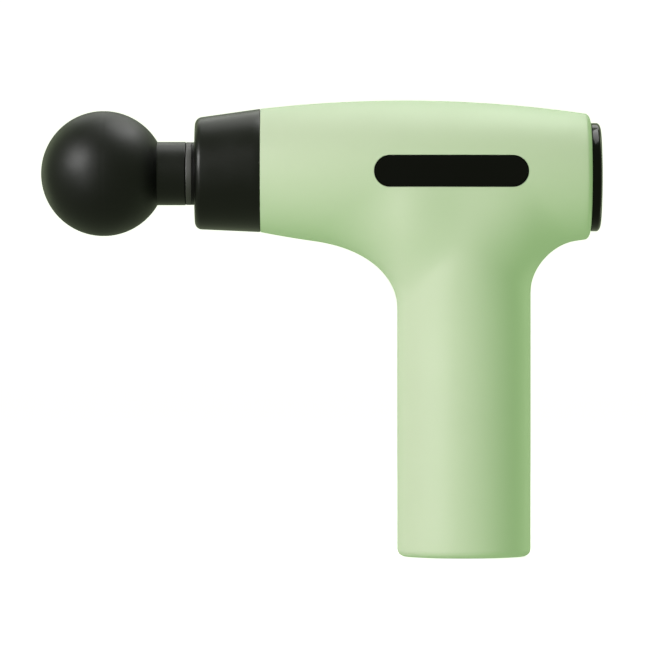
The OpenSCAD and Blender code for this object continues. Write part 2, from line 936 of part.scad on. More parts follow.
module stem_ribs() {
    color(rubber_grey) for (x = rib_places)
        ring_x(x - 0.55, x + 0.55, socket_r - run_gap, stem_r - 0.8);
}

left_shell();
right_shell();
nose_cone();
nose_seal();
rear_cap();
display_lens();
power_button();
left_inlay();
right_inlay();
base_cover();
charge_port();
port_board();
drive_frame();
front_bush();
rear_bush();
frame_dampers();
motor_damper();
piston_sleeve();
socket_ring();
yoke();
yoke_pin();
crank_disc();
crank_pin();
crank_roller();
roller_clip();
motor_shaft();
motor_rotor();
motor_can();
motor_end_cap();
motor_stator();
motor_windings();
motor_bearings();
motor_screws();
battery_cells();
cell_holders();
cell_links();
main_board();
board_parts();
display_board();
button_switch();
display_ribbon();
motor_leads();
battery_leads();
shell_screws();
ball();
head_stem();
stem_ribs();
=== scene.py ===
"""Looks of the massage gun: its visible pieces, their materials, the studio and its lights.

The gun points along -X and stands on z = 0. Its lengths in this file are in millimetres, and
raw_object() turns them into metres."""

import math

import bmesh
import bpy
import numpy as np
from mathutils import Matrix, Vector


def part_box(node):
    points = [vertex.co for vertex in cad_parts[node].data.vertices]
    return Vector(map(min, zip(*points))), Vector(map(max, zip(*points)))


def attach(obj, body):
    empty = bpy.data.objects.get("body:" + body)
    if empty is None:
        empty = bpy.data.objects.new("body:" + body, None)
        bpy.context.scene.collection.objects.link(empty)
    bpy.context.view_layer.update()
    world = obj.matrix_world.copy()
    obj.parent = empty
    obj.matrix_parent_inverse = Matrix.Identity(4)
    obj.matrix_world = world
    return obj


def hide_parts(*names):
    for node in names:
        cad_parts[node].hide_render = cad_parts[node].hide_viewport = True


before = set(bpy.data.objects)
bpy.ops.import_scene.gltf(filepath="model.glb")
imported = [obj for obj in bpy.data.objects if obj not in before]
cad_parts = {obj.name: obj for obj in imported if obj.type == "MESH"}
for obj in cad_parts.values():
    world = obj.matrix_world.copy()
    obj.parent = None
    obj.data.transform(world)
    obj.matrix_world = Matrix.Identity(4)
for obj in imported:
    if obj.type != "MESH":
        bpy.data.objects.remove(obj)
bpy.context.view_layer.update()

MM = 0.001


def box_mm(node):
    """A CAD node's lowest and highest corners, in millimetres."""
    low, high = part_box(node)
    return low / MM, high / MM


# ---------- driving sizes, the same as the CAD's ----------

# Barrel: its ends, and the arcs of its top and its underside
FRONT_X = round(box_mm("left_shell")[0].x, 2)
REAR_X = round(box_mm("left_shell")[1].x, 2)
BARREL_H = 164.0
CROWN_X, CROWN_R = -21.4, 450.0
BELLY_X, BELLY_Z, BELLY_R = -7.2, 110.1, 333.5
REAR_EDGE, REAR_EDGE_L = 3.2, 1.9

# Handle, and how it blends into the barrel
HALF_W, HALF_D = 24.0, 24.0
FOOT_EDGE = 2.7
FRONT_BLEND, REAR_BLEND, SIDE_BLEND = 30.0, 22.0, 14.0
LIFT_Z, LIFT_RATE, FLARE_Z = 112.0, 0.022, 80.0
SWELL, SWELL_Z, SWELL_H = 0.1, 106.0, 34.0

# Shells: their wall, their screw bosses at [x, z], and the foot's cover
WALL = 2.4
BOSSES = [(-54, 157), (33, 154), (-50, 118.2), (0, 85.4), (-8, 8.4)]
BOSS_R, SCREW_HEAD_R = 3.3, 2.0
SCREW_HEAD_Y = 5
FOOT_PLATE_R = 16.0

# Nose, rear cap, inlays
AXIS_Z = 137.7
NOSE_X, NOSE_R, NOSE_EDGE = -96.8, 20.0, 2.4
CAP_R, CAP_Z, CAP_X = 19.5, 136.4, 49.7
CAP_CROWN_R = 260.0
SPIGOT_R = CAP_R - 2.4
MOUTH_R = 14.2
BUTTON_R, LENS_R = 5.5, 14.6
INLAY_L, INLAY_H, INLAY_X, INLAY_Z = 55.1, 11.3, -5.0, 138.0
INLAY_T = 1.2

# Massage head and the sleeve it sits in
BALL_R, BALL_X = 22.5, -129.7
MOULD_LINE_W, MOULD_LINE_D = 0.3, 0.05
NECK_R, NECK_X, HEAD_X = 11.4, -110.4, -100.0
STEM_R, STEM_BORE, KNOB_R = 8.65, 5.5, 11.0
SLEEVE_R, SLEEVE_FRONT, SOCKET_R = 11.3, -97.8, 9.0

# Parting line between the half shells, and a distance along Y that clears the whole gun
GROOVE_W, GROOVE_D, PARTING = 0.42, 0.16, 0.04
WIDE = 60

# The floor's distance below the foot
FLOOR_GAP = 0.3


# ---------- shape of the body ----------

def smooth(u):
    """Eases from 0 at u = 0 to 1 at u = 1."""
    t = np.clip(u, 0, 1)
    return t * t * (3 - 2 * t)


def mix(a, b, t):
    """Goes evenly from a at t = 0 to b at t = 1."""
    return a + (b - a) * t


def edge_in(d, length, height):
    """How far a rounded edge draws a surface in, at a distance d from its end."""
    u = np.clip(1 - d / length, 0, 1)
    return height * (1 - np.sqrt(1 - u * u))


def crown(x):
    """Height of the barrel's top."""
    return BARREL_H - (x - CROWN_X) ** 2 / (2 * CROWN_R)


def belly(x):
    """Height of the barrel's underside."""
    return BELLY_Z + (x - BELLY_X) ** 2 / (2 * BELLY_R)


def barrel_mid(x):
    """Height of the barrel's middle."""
    return (crown(x) + belly(x)) / 2


def barrel_r(x):
    """Half the barrel's height, with the round of its rear edge."""
    return (crown(x) - belly(x)) / 2 - edge_in(REAR_X - x, REAR_EDGE_L, REAR_EDGE)


def handle_run(x):
    """Square of x in half widths of the handle, going on straight in front of it."""
    u = np.abs(x) / HALF_W
    return np.where((u < 1) | (x > 0), u * u, 2 * u - 1)


def blend_size(x):
    """Reach of the blend from handle to barrel: small at the sides, large in front and behind."""
    return mix(SIDE_BLEND, np.where(x < 0, FRONT_BLEND, REAR_BLEND), smooth(np.abs(x) / HALF_W))


def depth_girth(x, z):
    """How deep a point of the middle plane lies in the outline, and the girth there."""
    r = barrel_r(x)
    b = (r * r - (z - barrel_mid(x)) ** 2) / (2 * r)
    h = (
        HALF_W / 2 * (1 - handle_run(x))
        - LIFT_RATE * np.maximum(0, z - LIFT_Z) ** 2
        - edge_in(z, FOOT_EDGE, FOOT_EDGE)
    )
    k = blend_size(x)
    t = (b - h) / k
    depth = np.maximum(b, h) + np.maximum(0, 1 - np.abs(t)) ** 2 * k / 4
    hold = smooth(0.5 - t / 2)
    slim = (1 - smooth((z - FLARE_Z) / (barrel_mid(x) - FLARE_Z))) * hold
    swell = 1 + SWELL * smooth(1 - np.abs(z - SWELL_Z) / SWELL_H) * hold
    return depth, mix(2 * r, 2 * HALF_D**2 / HALF_W, slim) * swell


def body_half(x, z, inset):
    """Half the body's extent along Y at a point of the middle plane."""
    depth, girth = depth_girth(x, z)
    return np.sqrt(np.maximum(0, (depth - inset) * girth))


def top_line(x, inset):
    """Height of the barrel's top, drawn in by inset."""
    r = barrel_r(x)
    return barrel_mid(x) + np.sqrt(r * r - 2 * r * inset)


def under_line(x, inset):
    """Height of the barrel's underside with its blend, drawn in by inset."""
    r, k = barrel_r(x), blend_size(x)
    h = HALF_W / 2 * (1 - handle_run(x))
    need = np.maximum(0, inset - h)
    b = np.where(need > k, inset, h - k + 2 * np.sqrt(k * need))
    return barrel_mid(x) - np.sqrt(r * r - 2 * r * b)


def handle_half(z, inset):
    """Half the handle's width, drawn in by inset."""
    return np.sqrt(HALF_W**2 - 2 * HALF_W * (inset + edge_in(z, FOOT_EDGE, FOOT_EDGE)))


def round_steps(count, fine):
    """Steps from 0 to 1 spaced as round a half circle; fine adds close ones at both ends."""
    ends = [a / math.pi for a in fine]
    start = max([0.0] + ends)
    middle = np.linspace(start, 1 - start, count + 1)
    turns = np.concatenate([[0.0], ends[:-1], middle, [1 - e for e in reversed(ends[:-1])], [1.0]])
    return (1 - np.cos(math.pi * np.unique(turns))) / 2


# Columns in front of, across and behind the handle and round the rear edge, then rows of the
# foot, the handle and the barrel: for surfaces that show, and for the cutting bodies
SHOWN = (46, 44, 24, 8, 8, 30, 74)
HIDDEN = (24, 24, 12, 2, 3, 10, 36)
# Extra steps next to the middle plane, as angles in radians
FINE = (0.004, 0.009, 0.015, 0.024, 0.04)


def body_grid(inset, front, rear, counts, fine):
    """The body's surface on one side of the middle plane as columns of [x, y, z].

    Returns the grid, the first row of the barrel and the handle's first and last column."""
    n_front, n_handle, n_rear, n_edge, n_foot, n_grip, n_barrel = counts
    reach = float(handle_half(FOOT_EDGE, inset))
    straight = rear - REAR_EDGE_L
    rows = round_steps(n_barrel, fine)
    thin = 0.25 * np.sqrt(rows * (1 - rows))
    across = 2 * round_steps(n_handle, fine) - 1
    low_front, low_rear = (float(under_line(s * reach, inset)) for s in (-1, 1))
    foot_top = max(FOOT_EDGE, inset + 1)
    foot = [
        inset + (foot_top - inset) * (1 - math.cos(math.pi / 2 * j / n_foot))
        for j in range(n_foot)
    ]
    grip = [j / n_grip for j in range(n_grip)]
    columns = []

    def barrel_column(x):
        """A column that has no handle below it: its low rows all lie on the underside."""
        low, top = float(under_line(x, inset)), float(top_line(x, inset))
        z = mix(low, top, rows)
        y = np.maximum(body_half(np.full_like(z, x), z, inset), (top - low) * thin)
        y[0] = y[-1] = 0
        columns.append([[x, 0.0, low]] * (n_foot + n_grip) + [[x, *p] for p in zip(y, z)])

    for i in range(n_front, 0, -1):
        barrel_column(-reach - (-reach - front) * (i / n_front) ** 2)
    first = len(columns)
    for s in across:
        edge = abs(s) > 0.999999
        split = mix(low_front, low_rear, (s + 1) / 2)
        heights = foot + [mix(foot_top, split, t) for t in grip]
        low = []
        for z in heights:
            x = s * float(handle_half(z, inset))
            low.append([x, 0.0 if edge else float(body_half(x, z, inset)), z])
        x = s * reach
        top = float(top_line(x, inset))
        z = mix(split, top, rows)
        y = np.maximum(body_half(np.full_like(z, x), z, inset), (top - split) * thin)
        y[-1] = 0
        if edge:
            y[0] = 0
        columns.append(low + [[x, *p] for p in zip(y, z)])
    last = len(columns) - 1
    for i in range(1, n_rear + 1):
        barrel_column(reach + (straight - reach) * (i / n_rear) ** 1.6)
    for i in range(1, n_edge + 1):
        barrel_column(straight + REAR_EDGE_L * math.sin(math.pi / 2 * i / n_edge))
    return np.array(columns), n_foot + n_grip, first, last


def cut_groove(grid):
    """Draws the surface in a little along the middle plane, for the parting line."""
    x, y, z = grid[..., 0], grid[..., 1], grid[..., 2]
    step = 0.01
    d0 = depth_girth(x, z)[0]
    gx = (depth_girth(x + step, z)[0] - d0) / step
    gz = (depth_girth(x, z + step)[0] - d0) / step
    size = np.maximum(1e-6, np.hypot(gx, gz))
    pull = GROOVE_D * (1 - smooth(y / GROOVE_W))
    flat_foot = z < 1e-6
    grid[..., 0] += np.where(flat_foot, 0, pull * gx / size)
    grid[..., 2] += np.where(flat_foot, 0, pull * gz / size)
    return grid


def body_solid(name, inset, front, rear, counts, fine=()):
    """The whole body as one closed mesh, drawn in by inset."""
    grid, low_rows, first, last = body_grid(inset, front, rear, counts, fine)
    if fine:
        grid = cut_groove(grid)
    n_col, n_row = grid.shape[:2]
    here = grid.reshape(-1, 3)
    verts = np.concatenate([here, here * [1, -1, 1]])
    offset = n_col * n_row
    faces = []

    def add(a, b, c, d, flip):
        faces.append([d, c, b, a] if flip else [a, b, c, d])

    for i in range(n_col - 1):
        for j in range(n_row - 1):
            if j < low_rows and not first <= i < last:
                continue
            a, b = i * n_row + j, i * n_row + j + 1
            c, d = b + n_row, a + n_row
            add(a, b, c, d, False)
            add(a + offset, b + offset, c + offset, d + offset, True)
    for j in range(low_rows, n_row - 1):
        a, b = j, j + 1
        add(a, a + offset, b + offset, b, False)
        a, b = (n_col - 1) * n_row + j, (n_col - 1) * n_row + j + 1
        add(a, a + offset, b + offset, b, True)
    for i in range(first, last):
        a, b = i * n_row, (i + 1) * n_row
        add(a, a + offset, b + offset, b, True)
    return raw_object(name, verts, faces, weld=True)


# ---------- mesh helpers ----------

def raw_object(name, verts_mm, faces, weld=False):
    """A mesh object from points in millimetres, with doubled points welded on request."""
    mesh = bpy.data.meshes.new(name)
    mesh.from_pydata((np.asarray(verts_mm, float) * MM).tolist(), [], [list(f) for f in faces])
    obj = bpy.data.objects.new(name, mesh)
    bpy.context.scene.collection.objects.link(obj)
    bm = bmesh.new()
    bm.from_mesh(mesh)
    if weld:
        bmesh.ops.remove_doubles(bm, verts=bm.verts, dist=0.0005 * MM)
        bmesh.ops.dissolve_degenerate(bm, dist=0.0005 * MM, edges=bm.edges)
    bmesh.ops.recalc_face_normals(bm, faces=bm.faces)
    bm.to_mesh(mesh)
    bm.free()
    return obj


def lathe(name, profile, mid, sides=160, closed=True):
    """Turns a profile of [x, r] about an axis along X whose height is mid(x)."""
    profile = np.asarray(profile, float)
    turn = np.linspace(0, 2 * math.pi, sides, endpoint=False)
    verts, rings = [], []
    for x, r in profile:
        if r < 1e-6:
            rings.append([len(verts)] * sides)
            verts.append([x, 0, mid(x)])
            continue
        rings.append(list(range(len(verts), len(verts) + sides)))
        verts.extend([x, r * math.cos(t), mid(x) + r * math.sin(t)] for t in turn)
    faces = []
    pairs = list(zip(rings, rings[1:])) + ([(rings[-1], rings[0])] if closed else [])
    for a, b in pairs:
        for k in range(sides):
            n = (k + 1) % sides
            quad = [a[k], a[n], b[n], b[k]]
            face = [v for i, v in enumerate(quad) if v != quad[i - 1]]
            if len(face) > 2:
                faces.append(face)
    return raw_object(name, verts, faces)


def arc(cx, cy, rx, ry, a0, a1, n=8):
    """Points of a round about [cx, cy], angles in degrees."""
    return [
        [cx + rx * math.cos(math.radians(a)), cy + ry * math.sin(math.radians(a))]
        for a in np.linspace(a0, a1, n + 1)
    ]


def rounded(points, radius, n=4):
    """A closed outline with every corner rounded by up to radius."""
    out = []
    points = [np.array(p, float) for p in points]
    for i, p in enumerate(points):
        before, after = points[i - 1] - p, points[(i + 1) % len(points)] - p
        r = min(radius, 0.45 * np.linalg.norm(before), 0.45 * np.linalg.norm(after))
        a, b = before / np.linalg.norm(before), after / np.linalg.norm(after)
        if abs(p[1]) < 1e-6 or r < 1e-4:
            out.append(p.tolist())
            continue
        for t in np.linspace(0, 1, n + 1):
            out.append((p + a * r * (1 - t) ** 2 + b * r * t**2).tolist())
    return out


def stadium_prism(name, length, height, at, y0, y1, steps=24):
    """A rod of stadium section along Y, with its middle at [x, z]."""
    half = (length - height) / 2
    outline = [
        [at[0] + sign * half + height / 2 * math.cos(t), at[1] + height / 2 * math.sin(t)]
        for sign, start in ((1, -math.pi / 2), (-1, math.pi / 2))
        for t in np.linspace(start, start + math.pi, steps + 1)
    ]
    n = len(outline)
    verts = [[x, y, z] for y in (y0, y1) for x, z in outline]
    faces = [[k, (k + 1) % n, n + (k + 1) % n, n + k] for k in range(n)]
    faces += [list(range(n)), list(range(2 * n - 1, n - 1, -1))]
    return raw_object(name, verts, faces)


def rod(name, start, end, radius, sides=48):
    """A round rod between two points in millimetres."""
    start, end = np.array(start, float), np.array(end, float)
    ahead = (end - start) / np.linalg.norm(end - start)
    side = np.cross(ahead, [0, 0, 1] if abs(ahead[2]) < 0.9 else [1, 0, 0])
    side /= np.linalg.norm(side)
    up = np.cross(ahead, side)
    verts = [
        c + radius * (math.cos(t) * side + math.sin(t) * up)
        for c in (start, end)
        for t in np.linspace(0, 2 * math.pi, sides, endpoint=False)
    ]
    faces = [[k, (k + 1) % sides, sides + (k + 1) % sides, sides + k] for k in range(sides)]
    faces += [list(range(sides)), list(range(2 * sides - 1, sides - 1, -1))]
    return raw_object(name, verts, faces)


def cut(obj, other, operation="DIFFERENCE"):
    """Cuts obj with the closed mesh other, and removes other."""
    mod = obj.modifiers.new("cut", "BOOLEAN")
    mod.operation = operation
    mod.object = other
    mod.solver = "MANIFOLD"
    depsgraph = bpy.context.evaluated_depsgraph_get()
    mesh = bpy.data.meshes.new_from_object(obj.evaluated_get(depsgraph))
    obj.modifiers.clear()
    old = obj.data
    obj.data = mesh
    bpy.data.meshes.remove(old)
    drop(other)


def drop(*objects):
    for o in objects:
        bpy.data.objects.remove(o)


def copy_of(obj, name):
    new = obj.copy()
    new.data = obj.data.copy()
    new.name = name
    bpy.context.scene.collection.objects.link(new)
    return new


def shade(obj, angle):
    """Smooth shading that breaks at edges sharper than angle."""
    mesh = obj.data
    mesh.polygons.foreach_set("use_smooth", [True] * len(mesh.polygons))
    mesh.set_sharp_from_angle(angle=math.radians(angle))


def finish_piece(obj, body, node, material, angle=32):
    """Gives a piece its material, the body it rides on and the CAD node it replaces."""
    obj.data.materials.clear()
    obj.data.materials.append(material)
    shade(obj, angle)
    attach(obj, body)
    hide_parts(node)


# ---------- materials ----------

def srgb(r, g, b):
    """Linear colour from screen values of 0 to 255."""
    def lin(c):
        c /= 255
        return c / 12.92 if c <= 0.04045 else ((c + 0.055) / 1.055) ** 2.4
    return (lin(r), lin(g), lin(b), 1.0)


def moulded(
    name, color, rough, *, tint=0.03, grain=0.25, bump=0.03, rough_spread=0.06,
    metallic=0.0, coat=0.0, specular=0.5, stretch=(1, 1, 1),
):
    """A moulded or machined surface.

    grain is the size of its texture in mm, bump its depth in mm, tint how much the colour
    wanders in broad clouds, rough_spread how much the roughness wanders in smaller patches,
    and stretch the direction of turning or brushing marks."""
    mat = bpy.data.materials.new(name)
    mat.use_nodes = True
    tree = mat.node_tree
    nodes, link = tree.nodes, tree.links.new
    shader = nodes["Principled BSDF"]
    shader.inputs["Metallic"].default_value = metallic
    shader.inputs["Specular IOR Level"].default_value = specular
    shader.inputs["Coat Weight"].default_value = coat
    shader.inputs["Coat Roughness"].default_value = 0.08

    place = nodes.new("ShaderNodeTexCoord")
    mapping = nodes.new("ShaderNodeMapping")
    mapping.inputs["Scale"].default_value = stretch
    link(place.outputs["Object"], mapping.inputs["Vector"])

    def noise(size_mm, detail, source):
        tex = nodes.new("ShaderNodeTexNoise")
        tex.inputs["Scale"].default_value = 1 / (size_mm * MM)
        tex.inputs["Detail"].default_value = detail
        link(source, tex.inputs["Vector"])
        return tex.outputs["Fac"]

    cloud = noise(38, 3, place.outputs["Object"])
    fine = noise(grain, 2, mapping.outputs["Vector"])

    ramp = nodes.new("ShaderNodeValToRGB")
    dark = [c * (1 - tint) for c in color[:3]] + [1]
    light = [min(1, c * (1 + tint)) for c in color[:3]] + [1]
    ramp.color_ramp.elements[0].position = 0.3
    ramp.color_ramp.elements[0].color = dark
    ramp.color_ramp.elements[1].position = 0.7
    ramp.color_ramp.elements[1].color = light
    link(cloud, ramp.inputs["Fac"])
    link(ramp.outputs["Color"], shader.inputs["Base Color"])

    spread = nodes.new("ShaderNodeMapRange")
    spread.inputs["From Min"].default_value = 0.3
    spread.inputs["From Max"].default_value = 0.7
    spread.inputs["To Min"].default_value = rough - rough_spread
    spread.inputs["To Max"].default_value = rough + rough_spread
    patch = noise(9, 4, place.outputs["Object"])
    link(patch, spread.inputs["Value"])
    link(spread.outputs["Result"], shader.inputs["Roughness"])

    relief = nodes.new("ShaderNodeBump")
    relief.inputs["Strength"].default_value = 1.0
    relief.inputs["Distance"].default_value = bump * MM
    link(fine, relief.inputs["Height"])
    link(relief.outputs["Normal"], shader.inputs["Normal"])
    return mat


GREEN = moulded(
    "green_shell", (0.555, 0.76, 0.49), 0.5, tint=0.012, grain=0.35, bump=0.005,
    rough_spread=0.03, specular=0.25,
)
NOSE_BLACK = moulded(
    "nose_black", (0.0012, 0.0013, 0.0011), 0.35, tint=0.1, grain=0.3, bump=0.003,
    specular=0.27, rough_spread=0.03,
)
CAP_BLACK = moulded(
    "cap_black", (0.0008, 0.0009, 0.0007), 0.13, tint=0.1, grain=0.3, bump=0.0005,
    specular=0.15, rough_spread=0.03,
)
GLOSS_BLACK = moulded(
    "gloss_black", (0.0015, 0.0015, 0.0015), 0.12, tint=0.1, grain=0.6, bump=0.0003,
    specular=0.13, rough_spread=0.03,
)
BALL_BLACK = moulded(
    "ball_foam", (0.001, 0.0011, 0.001), 0.46, tint=0.1, grain=0.5, bump=0.004,
    specular=0.27, rough_spread=0.03,
)
NECK_BLACK = moulded(
    "neck_black", (0.0012, 0.0013, 0.0011), 0.38, tint=0.1, grain=0.3, bump=0.003,
    specular=0.28, rough_spread=0.03,
)
RUBBER = moulded("rubber", srgb(30, 31, 30), 0.7, tint=0.05, grain=0.4, bump=0.01)
STEEL = moulded(
    "steel", srgb(150, 152, 150), 0.34, tint=0.04, bump=0.002, metallic=1.0, stretch=(6, 1, 1)
)
RING_STEEL = moulded(
    "ring_steel", srgb(94, 92, 94), 0.58, tint=0.04, bump=0.002, metallic=1.0, stretch=(6, 1, 1)
)
CAN_STEEL = moulded(
    "can_steel", srgb(120, 122, 126), 0.38, tint=0.05, grain=0.3, bump=0.003, metallic=1.0,
    stretch=(1, 1, 6),
)
MAGNET = moulded("magnet", srgb(62, 62, 66), 0.45, metallic=0.8, tint=0.06, grain=0.3, bump=0.004)
ALUMINIUM = moulded(
    "aluminium", srgb(188, 190, 192), 0.32, grain=0.22, bump=0.002, metallic=1.0,
    stretch=(6, 1, 1),
)
ANODISED = moulded(
    "black_anodised", srgb(22, 22, 23), 0.4, metallic=0.6, tint=0.05, grain=0.25, bump=0.001,
    stretch=(6, 1, 1), specular=0.3,
)
FRAME_GREY = moulded("frame_grey", srgb(78, 80, 83), 0.55, tint=0.06, grain=0.4, bump=0.012)
ACETAL = moulded("acetal", srgb(226, 225, 218), 0.45, tint=0.02, grain=0.4, bump=0.004)
COPPER = moulded(
    "copper", srgb(196, 118, 70), 0.35, tint=0.08, grain=0.5, metallic=1.0, stretch=(1, 1, 4)
)
CELL_WRAP = moulded("cell_wrap", srgb(52, 104, 158), 0.35, tint=0.04, grain=1.5, bump=0.004)
BOARD = moulded("board", srgb(24, 92, 50), 0.4, tint=0.12, grain=0.8, bump=0.01, coat=0.3)
CHIP = moulded("chip", srgb(34, 34, 36), 0.55, tint=0.06, grain=0.3, bump=0.006)
RED_LEAD = moulded("red_lead", srgb(168, 30, 24), 0.45, tint=0.05, grain=0.6, bump=0.006)
BLACK_LEAD = moulded("black_lead", srgb(26, 26, 26), 0.45, tint=0.05, grain=0.6, bump=0.006)

CARRIED = {
    "nose_seal": RUBBER, "frame_dampers": RUBBER, "motor_damper": RUBBER, "stem_ribs": RUBBER,
    "base_cover": NOSE_BLACK, "charge_port": STEEL, "port_board": BOARD,
    "drive_frame": FRAME_GREY, "front_bush": ACETAL, "rear_bush": ACETAL,
    "piston_sleeve": ANODISED, "yoke": ALUMINIUM, "motor_end_cap": ALUMINIUM,
    "yoke_pin": STEEL, "crank_disc": STEEL, "crank_pin": STEEL, "crank_roller": STEEL,
    "roller_clip": STEEL, "motor_shaft": STEEL, "motor_rotor": MAGNET, "motor_can": CAN_STEEL,
    "motor_stator": CAN_STEEL, "motor_windings": COPPER, "motor_bearings": STEEL,
    "motor_screws": STEEL, "battery_cells": CELL_WRAP, "cell_holders": ACETAL,
    "cell_links": STEEL, "main_board": BOARD, "board_parts": CHIP, "display_board": BOARD,
    "button_switch": CHIP, "display_ribbon": COPPER, "motor_leads": RED_LEAD,
    "battery_leads": BLACK_LEAD, "shell_screws": STEEL,
}


# ---------- housing ----------

def half_shells():
    """The hollow body with its openings and bosses, parted on the middle plane."""
    outer = body_solid("outer", 0.0, FRONT_X, REAR_X, SHOWN, FINE)
    inner = body_solid("inner", WALL, FRONT_X - 1, REAR_X - WALL, HIDDEN)
    for x, z in BOSSES:
        cut(inner, rod("boss", (x, -WIDE, z), (x, WIDE, z), BOSS_R))
    cut(outer, inner)
    cut(outer, rod("rear_hole", (REAR_X - 9, 0, CAP_Z), (REAR_X + 9, 0, CAP_Z), SPIGOT_R + 0.2, 96))
    cut(outer, rod("foot_hole", (0, 0, -2), (0, 0, WALL + 2), FOOT_PLATE_R + 0.15, 128))
    pocket = stadium_prism("pocket", INLAY_L + 0.2, INLAY_H + 0.2, (INLAY_X, INLAY_Z), -WIDE, WIDE)
    cut(pocket, body_solid("core", INLAY_T + 0.2, FRONT_X - 1, REAR_X, HIDDEN))
    cut(outer, pocket)
    for x, z in BOSSES:
        cut(outer, rod("screw_way", (x, SCREW_HEAD_Y, z), (x, WIDE, z), SCREW_HEAD_R + 0.25, 32))
    for name, side in (("left_shell_skin", -1), ("right_shell_skin", 1)):
        half = copy_of(outer, name)
        cut(half, half_space(side), "INTERSECT")
        finish_piece(half, "housing", name[:-5], GREEN, 38)
    drop(outer)


def half_space(side):
    """Everything on one side of the parting plane."""
    low, high = (PARTING, WIDE) if side > 0 else (-WIDE, -PARTING)
    xs, zs = (-200, 100), (-10, 200)
    verts = [[x, y, z] for x in xs for y in (low, high) for z in zs]
    faces = [[0, 1, 3, 2], [4, 6, 7, 5], [0, 4, 5, 1], [2, 3, 7, 6], [0, 2, 6, 4], [1, 5, 7, 3]]
    return raw_object("half_space", verts, faces)


def inlay(name, side):
    """A glossy stadium that follows the barrel's surface and stands 0.02 mm proud of it."""
    piece = body_solid(name, -0.02, FRONT_X, REAR_X, SHOWN)
    low, high = (2, WIDE) if side > 0 else (-WIDE, -2)
    outline = stadium_prism(
        "edge", INLAY_L - 0.1, INLAY_H - 0.1, (INLAY_X, INLAY_Z), low, high, 40
    )
    cut(piece, outline, "INTERSECT")
    cut(piece, body_solid("core", INLAY_T, FRONT_X - 1, REAR_X, HIDDEN))
    finish_piece(piece, "housing", name[:-5], GLOSS_BLACK)


def nose_mid(x):
    """Height of the nose cone's middle."""
    return mix(AXIS_Z, barrel_mid(FRONT_X), (x - NOSE_X) / (FRONT_X - NOSE_X))


def nose():
    """The tapering nose cone, open at the front, with its seam against the shells."""
    rear_r = float(barrel_r(FRONT_X))
    seam = FRONT_X - 0.12

    def radius(x):
        return mix(NOSE_R, rear_r, (x - NOSE_X) / (FRONT_X - NOSE_X))

    edge = [
        [x, radius(x) - NOSE_EDGE + r]
        for x, r in arc(NOSE_X + NOSE_EDGE, 0, NOSE_EDGE, NOSE_EDGE, 180, 90, 12)
    ]
    profile = (
        [[NOSE_X + 6, MOUTH_R], [NOSE_X + 0.9, MOUTH_R]]
        + [[NOSE_X + 0.35, MOUTH_R + 0.3], [NOSE_X, MOUTH_R + 0.9]]
        + edge
        + [[x, radius(x)] for x in np.linspace(NOSE_X + 5, seam - 0.35, 8)]
        + [[seam - 0.1, radius(seam) - 0.06], [seam, radius(seam) - 0.3]]
        + [[seam, rear_r - WALL - 0.2], [FRONT_X + 4, rear_r - WALL - 0.2]]
        + [[FRONT_X + 4, rear_r - 2 * WALL], [NOSE_X + 6, NOSE_R - WALL]]
    )
    piece = lathe("nose_cone_skin", profile, nose_mid, 192)
    finish_piece(piece, "housing", "nose_cone", NOSE_BLACK)


def cap_crown(r):
    """How far back the cap's domed face lies, at a radius r."""
    return CAP_X - r * r / (2 * CAP_CROWN_R)


def on_cap(x):
    """Height of the rear cap's axis."""
    return CAP_Z


def rear_cap():
    """The domed cap with the recess for the lens and the hole for the button."""
    base, edge, edge_l = REAR_X + 0.1, 2.6, 1.6
    flat, bore = CAP_R - edge, CAP_R - 4
    spigot_end, lens_floor = REAR_X - 4, base + 2
    profile = (
        [[base + 1, bore], [spigot_end, bore], [spigot_end, SPIGOT_R], [base, SPIGOT_R]]
        + [[base, CAP_R - 0.35], [base + 0.12, CAP_R - 0.1], [base + 0.35, CAP_R]]
        + [[x, r] for r, x in arc(flat, cap_crown(flat) - edge_l, edge, edge_l, 0, 90, 12)]
        + [[cap_crown(LENS_R + 0.4), LENS_R + 0.4], [cap_crown(LENS_R) - 0.15, LENS_R + 0.1]]
        + [[lens_floor, LENS_R + 0.1], [lens_floor, BUTTON_R + 0.3], [base + 1, BUTTON_R + 0.3]]
    )
    piece = lathe("rear_cap_skin", profile, on_cap, 192)
    finish_piece(piece, "housing", "rear_cap", CAP_BLACK)


def display_lens():
    """The ring-shaped lens, flush with the cap round it."""
    floor = REAR_X + 2.1
    rim, hole = LENS_R, BUTTON_R + 0.3
    profile = (
        [[floor, hole], [floor, rim]]
        + [[cap_crown(rim) - 0.2, rim], [cap_crown(rim) - 0.05, rim - 0.06]]
        + [[cap_crown(r), r] for r in np.linspace(rim - 0.2, hole + 0.25, 8)]
        + [[cap_crown(hole) - 0.06, hole + 0.06], [cap_crown(hole) - 0.25, hole]]
    )
    piece = lathe("display_lens_skin", profile, on_cap, 160)
    finish_piece(piece, "housing", "display_lens", GLOSS_BLACK)


def power_button():
    """The button with its slightly hollowed face and the stalk to its switch."""
    face, base = CAP_X - 0.35, REAR_X + 0.9
    hollow = [
        [face - 0.25 * (1 - (r / (BUTTON_R - 0.6)) ** 2), r]
        for r in np.linspace(BUTTON_R - 0.8, 0, 8)
    ]
    profile = (
        [[REAR_X - 0.6, 0], [REAR_X - 0.6, 2], [base, 2], [base, BUTTON_R]]
        + [[x, r] for r, x in arc(BUTTON_R - 0.5, face - 0.5, 0.5, 0.5, 0, 90, 8)]
        + hollow
    )
    piece = lathe("power_button_skin", profile, on_cap, 96, closed=False)
    finish_piece(piece, "button", "power_button", NOSE_BLACK)


# ---------- massage head and sleeve ----------

def on_axis(x):
    """Height of the sleeve's and the head's axis."""
    return AXIS_Z


def round_ball(radius, angles):
    """Points round the ball's middle, at angles in degrees from the neck."""
    return [
        [BALL_X + radius * math.cos(math.radians(a)), radius * math.sin(math.radians(a))]
        for a in angles
    ]


